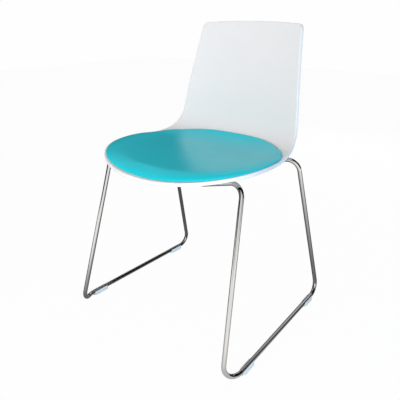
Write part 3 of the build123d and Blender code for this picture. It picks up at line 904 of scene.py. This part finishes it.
def buildRodGroup():
    tree, inputs, outputs = newTree(
        "bentRod", "GeometryNodeTree",
        [("Geometry", "Geometry"), ("Rod Radius", "Float"), ("Bend Steps", "Int"), ("Sides", "Int"),
         ("Material", "Material")],
        [("Geometry", "Geometry")])
    curve = addNode(tree, "GeometryNodeMeshToCurve")
    bend = addNode(tree, "GeometryNodeInputNamedAttribute", {"Name": "bend"}, data_type="FLOAT")
    fillet = addNode(tree, "GeometryNodeFilletCurve", mode="POLY")
    circle = addNode(tree, "GeometryNodeCurvePrimitiveCircle")
    sweep = addNode(tree, "GeometryNodeCurveToMesh", {"Fill Caps": True})
    smooth = addNode(tree, "GeometryNodeSetShadeSmooth")
    realize = addNode(tree, "GeometryNodeRealizeInstances")
    paint = addNode(tree, "GeometryNodeSetMaterial")
    wire(tree,
         (inputs, "Geometry", curve, "Mesh"),
         (curve, "Curve", fillet, "Curve"),
         (bend, "Attribute", fillet, "Radius"),
         (inputs, "Bend Steps", fillet, "Count"),
         (fillet, "Curve", sweep, "Curve"),
         (inputs, "Rod Radius", circle, "Radius"),
         (inputs, "Sides", circle, "Resolution"),
         (circle, "Curve", sweep, "Profile Curve"),
         (sweep, "Mesh", smooth, "Geometry"),
         (smooth, "Geometry", realize, "Geometry"),
         (realize, "Geometry", paint, "Geometry"),
         (inputs, "Material", paint, "Material"),
         (paint, "Geometry", outputs, "Geometry"))
    return tree


rodGroup = buildRodGroup()
route = rodRoute()
for side, sideName in ((1, "right"), (-1, "left")):
    mesh = bpy.data.meshes.new(sideName + "SledRod")
    line = [(side * x * mm, y * mm, z * mm) for (x, y, z), bendRadius in route]
    mesh.from_pydata(line, [(k, k + 1) for k in range(len(line) - 1)], [])
    bends = mesh.attributes.new("bend", "FLOAT", "POINT")
    bends.data.foreach_set("value", [bendRadius * mm for place, bendRadius in route])
    sled = link(bpy.data.objects.new(sideName + "SledRod", mesh))
    growNodes(sled, rodGroup, {"Rod Radius": rod["radius"] * mm, "Bend Steps": rod["bendSteps"],
                               "Sides": rod["sides"], "Material": rodChrome})
    finishPiece(sled, rodChrome, "rod_chrome", sideName + "_sled_rod")
print("rods made")


# pieces whose CAD shape is right: a merged copy with softened edges

fitting = {"weldReach": 0.01, "roundSegments": 3, "roundAngle": 40, "sharpAngle": 35}
# material, slot and width of the softened edge
glideFinish = (glidePlastic, "glide_plastic", 0.5)
plateFinish = (rodChrome, "rod_chrome", 0.4)
weldFinish = (rodChrome, "rod_chrome", 0)
dressed = {
    "front_right_glide": glideFinish, "front_left_glide": glideFinish,
    "rear_right_glide": glideFinish, "rear_left_glide": glideFinish,
    "right_mounting_plate": plateFinish, "left_mounting_plate": plateFinish,
    "plate_weld_beads": weldFinish, "rod_butt_welds": weldFinish,
    "shell_inserts": (insertBrass, "insert_brass", 0.2),
    "pad_tee_nuts": (fastenerZinc, "fastener_steel", 0.2),
}
for nodeName, (material, slotName, edgeRound) in dressed.items():
    copy = link(bpy.data.objects.new("dressed_" + nodeName, nodes[nodeName].data.copy()))
    weld = copy.modifiers.new("weld", "WELD")
    weld.merge_threshold = fitting["weldReach"] * mm
    if edgeRound:
        soften = copy.modifiers.new("round", "BEVEL")
        soften.width = edgeRound * mm
        soften.segments = fitting["roundSegments"]
        soften.limit_method = "ANGLE"
        soften.angle_limit = radians(fitting["roundAngle"])
    bakeModifiers(copy)
    copy.data.polygons.foreach_set("use_smooth", [True] * len(copy.data.polygons))
    copy.data.set_sharp_from_angle(angle=radians(fitting["sharpAngle"]))
    finishPiece(copy, material, slotName, nodeName)
print("fittings dressed")


# screws and washers, one pattern of each set on its places

screwTurn = {"most": (0, 0, 6.283), "seed": 4}  # no two screws stop at the same angle


def buildSetGroup():
    tree, inputs, outputs = newTree(
        "fastenerSet", "GeometryNodeTree",
        [("Geometry", "Geometry"), ("Pattern", "Object"), ("Material", "Material")],
        [("Geometry", "Geometry")])
    pattern = addNode(tree, "GeometryNodeObjectInfo", {"As Instance": True})
    turn = addNode(tree, "FunctionNodeRandomValue", {
        "Max": screwTurn["most"], "Seed": screwTurn["seed"]}, data_type="FLOAT_VECTOR")
    spread = addNode(tree, "GeometryNodeInstanceOnPoints")
    realize = addNode(tree, "GeometryNodeRealizeInstances")
    paint = addNode(tree, "GeometryNodeSetMaterial")
    wire(tree,
         (inputs, "Geometry", spread, "Points"),
         (inputs, "Pattern", pattern, "Object"),
         (pattern, "Geometry", spread, "Instance"),
         (turn, "Value", spread, "Rotation"),
         (spread, "Instances", realize, "Geometry"),
         (realize, "Geometry", paint, "Geometry"),
         (inputs, "Material", paint, "Material"),
         (paint, "Geometry", outputs, "Geometry"))
    return tree


screwEdges = {
    "socketSides": 6, "socketLead": 1.25, "crown": 0.5, "crownMiddle": 0.15, "seat": 0.2,
    "neck": 0.2, "neckLength": 0.3, "tip": 0.6, "tipLength": 0.7,
}
washerEdge = 0.2


def screwRings(head, height, socket, depth, shank, length):
    # from the bottom of the socket, round the head and up to the tip
    sides = screwEdges["socketSides"]
    crown = screwEdges["crown"]
    middle = screwEdges["crownMiddle"]
    return [(0, -height + depth), (socket, -height + depth, sides), (socket, -height, sides),
            (socket * screwEdges["socketLead"], -height), (head - crown, -height),
            (head - middle, -height + middle), (head, -height + crown), (head, -crown),
            (head - screwEdges["seat"], 0), (shank + screwEdges["neck"], 0),
            (shank, screwEdges["neckLength"]), (shank, length - screwEdges["tipLength"]),
            (shank - screwEdges["tip"], length), (0, length)]


def washerRings(inner, outer, thick):
    soft = washerEdge
    return [(inner, soft), (inner + soft, 0), (outer - soft, 0), (outer, soft),
            (outer, thick - soft), (outer - soft, thick), (inner + soft, thick), (inner, thick - soft)]


washerZ = 436.4  # under the mounting plates
padSeatDrop = 8.2  # below the moulded surface
shellSeats = [(x, y, washerZ) for x, y in mountPlaces]
padSeats = [(x, y, float(surfaceZ(x, y)) - padSeatDrop) for x, y in padPlaces]
shellScrew = {"head": 5.0, "height": 6.0, "socket": 2.5, "depth": 3.0, "shank": 3.0, "length": 13.6}
padScrew = {"head": 4.75, "height": 3.2, "socket": 1.5, "depth": 1.8, "shank": 2.5, "length": 12.8}
fasteners = {
    "shell_screws": (shellSeats, screwRings(**shellScrew)),
    "shell_screw_washers": (shellSeats, washerRings(inner=3.25, outer=7.0, thick=1.6)),
    "pad_screws": (padSeats, screwRings(**padScrew)),
    "pad_screw_washers": (padSeats, washerRings(inner=2.75, outer=6.5, thick=1.2)),
}
setGroup = buildSetGroup()
for nodeName, (places, rings) in fasteners.items():
    patternPoints, patternFaces = turned(rings, underside["segments"])
    pattern = meshObject("pattern", np.array(patternPoints) * mm, patternFaces)
    pattern.data.set_sharp_from_angle(angle=radians(fitting["sharpAngle"]))
    spots = bpy.data.meshes.new(nodeName)
    spots.from_pydata([(x * mm, y * mm, z * mm) for x, y, z in places], [], [])
    fastener = link(bpy.data.objects.new("set_" + nodeName, spots))
    growNodes(fastener, setGroup, {"Pattern": pattern, "Material": fastenerZinc})
    bpy.data.objects.remove(pattern)
    finishPiece(fastener, fastenerZinc, "fastener_steel", nodeName)
print("fasteners set")


# floor, light and camera, in metres

stageLook = {
    "size": 6.0,
    "paper": {"name": "paleFloor", "light": (0.72, 0.72, 0.72), "dark": (0.70, 0.70, 0.70), "drift": 2.0,
              "grainScale": 60.0, "grainDepth": 0.0, "smooth": 0.8, "rough": 0.9,
              "shader": {"Specular IOR Level": 0.0}},
    # painted reflection, what polished metal sees of it: bright towards the viewer and far behind, dark
    # between these
    "mirrorDark": 0.1, "mirrorBright": 1.05, "darkTo": -0.12, "brightFrom": 0.82, "whiten": 0.96,
    "rearBright": 0.85, "rearFull": -1.15, "rearFrom": -0.6,
}
sightWay = (0.615, -0.788, 0.0)  # level direction from the chair to the viewer
corners = ((-1, -1), (1, -1), (1, 1), (-1, 1))
floor = meshObject("floor", [(x * stageLook["size"], y * stageLook["size"], 0) for x, y in corners],
                   [[0, 1, 2, 3]], smooth=False)


def floorPaint():
    # pale paper; polished metal sees a painted reflection, a glowing floor that is dark round the chair,
    # which draws the rods' edges
    material = surfaceMaterial(stageLook["paper"])
    tree = material.node_tree
    paper = tree.nodes["Principled BSDF"]
    path = addNode(tree, "ShaderNodeLightPath")
    place = addNode(tree, "ShaderNodeTexCoord")
    along = addNode(tree, "ShaderNodeVectorMath", {1: sightWay}, operation="DOT_PRODUCT")
    front = addRamp(tree, stageLook["darkTo"], stageLook["brightFrom"],
                    stageLook["mirrorDark"], stageLook["mirrorBright"], "SMOOTHSTEP")
    rear = addRamp(tree, stageLook["rearFull"], stageLook["rearFrom"],
                   stageLook["rearBright"], 0.0, "SMOOTHSTEP")
    brighter = addMath(tree, "MAXIMUM")
    # glows for glossy rays only: the painted reflection
    paintedReflection = addNode(tree, "ShaderNodeEmission")
    mirrored = addNode(tree, "ShaderNodeMixShader")
    white = addNode(tree, "ShaderNodeEmission")
    share = addMath(tree, "MULTIPLY", {1: stageLook["whiten"]})
    seen = addNode(tree, "ShaderNodeMixShader")
    wire(tree,
         (place, "Object", along, 0),
         (along, "Value", front, "Value"),
         (along, "Value", rear, "Value"),
         (front, "Result", brighter, 0),
         (rear, "Result", brighter, 1),
         (brighter, "Value", paintedReflection, "Strength"),
         (path, "Is Glossy Ray", mirrored, "Fac"),
         (paper, "BSDF", mirrored, 1),
         (paintedReflection, "Emission", mirrored, 2),
         (path, "Is Camera Ray", share, 0),
         (share, "Value", seen, "Fac"),
         (mirrored, "Shader", seen, 1),
         (white, "Emission", seen, 2),
         (seen, "Shader", tree.nodes["Material Output"], "Surface"))
    return material


floor.data.materials.append(floorPaint())

studio = {
    "ambient": 0.55, "seen": 0.99, "horizon": 0.04, "band": 0.6,
    "bandFrom": 0.46, "bandFull": 0.58, "fadeFrom": 0.66, "fadeTo": 0.78,
    "front": 0.9, "frontFrom": 0.55, "frontTo": 0.95, "rearFrom": -0.5, "rearTo": -0.15,
}


def buildWorld():
    # even light from all round; glossy surfaces see a dark room, bright towards the viewer and in a
    # strip behind
    world = bpy.data.worlds.new("studio")
    world.use_nodes = True
    world.cycles.sampling_method = "NONE"  # each ray then meets the world as its own kind
    tree = world.node_tree
    background = tree.nodes["Background"]
    background.inputs["Color"].default_value = (1, 1, 1, 1)
    path = addNode(tree, "ShaderNodeLightPath")
    place = addNode(tree, "ShaderNodeTexCoord")
    split = addNode(tree, "ShaderNodeSeparateXYZ")
    rise = addRamp(tree, studio["bandFrom"], studio["bandFull"], studio["horizon"], studio["band"])
    fade = addRamp(tree, studio["fadeFrom"], studio["fadeTo"], 1.0, 0.0)
    strip = addMath(tree, "MULTIPLY")
    along = addNode(tree, "ShaderNodeVectorMath", {1: sightWay}, operation="DOT_PRODUCT")
    front = addRamp(tree, studio["frontFrom"], studio["frontTo"], 0.0, studio["front"], "SMOOTHSTEP")
    rear = addRamp(tree, studio["rearFrom"], studio["rearTo"], 1.0, 0.0)
    behind = addMath(tree, "MULTIPLY")
    brighter = addMath(tree, "MAXIMUM")
    mirrored = addNode(tree, "ShaderNodeMix", {"A": studio["ambient"]})
    seen = addNode(tree, "ShaderNodeMix", {"B": studio["seen"]})
    wire(tree,
         (place, "Generated", split, "Vector"),
         (place, "Generated", along, 0),
         (split, "Z", rise, "Value"),
         (split, "Z", fade, "Value"),
         (rise, "Result", strip, 0),
         (fade, "Result", strip, 1),
         (along, "Value", front, "Value"),
         (along, "Value", rear, "Value"),
         (strip, "Value", behind, 0),
         (rear, "Result", behind, 1),
         (behind, "Value", brighter, 0),
         (front, "Result", brighter, 1),
         (path, "Is Glossy Ray", mirrored, "Factor"),
         (brighter, "Value", mirrored, "B"),
         (path, "Is Camera Ray", seen, "Factor"),
         (mirrored, "Result", seen, "A"),
         (seen, "Result", background, "Strength"))
    return world


scene.world = buildWorld()

lampTarget = Vector((0, 0, 0.45))
lamps = {
    "keyLamp": {"place": (0.5, -2.2, 1.0), "size": 1.4, "power": 44.0, "colour": (1.0, 1.0, 1.0)},
    "fillLamp": {"place": (2.0, 0.25, 0.25), "size": 1.2, "power": 24.0, "colour": (0.35, 0.68, 1.0)},
    "backLamp": {"place": (-0.4, 2.2, 1.1), "size": 1.2, "power": 16.0, "colour": (1.0, 1.0, 1.0)},
}
for lampName, form in lamps.items():
    light = bpy.data.lights.new(lampName, "AREA")
    light.shape = "DISK"
    light.size = form["size"]
    light.energy = form["power"]
    light.color = form["colour"]
    lamp = link(bpy.data.objects.new(lampName, light))
    lamp.visible_glossy = False
    lamp.location = form["place"]
    lamp.rotation_euler = (lampTarget - Vector(form["place"])).to_track_quat("-Z", "Y").to_euler()

photoView = {
    "lens": 40.70, "sensor": 36.0, "place": (0.7186, -0.9206, 0.8079), "tilt": 67.54, "turn": 38.19,
}
camera = bpy.data.cameras.new("photoCamera")
camera.lens = photoView["lens"]
camera.sensor_width = photoView["sensor"]
camera.sensor_height = photoView["sensor"]
camera.sensor_fit = "AUTO"
view = link(bpy.data.objects.new("photoCamera", camera))
view.location = photoView["place"]
view.rotation_euler = (radians(photoView["tilt"]), 0, radians(photoView["turn"]))
scene.camera = view
scene.view_settings.view_transform = "Standard"
print("stage set")
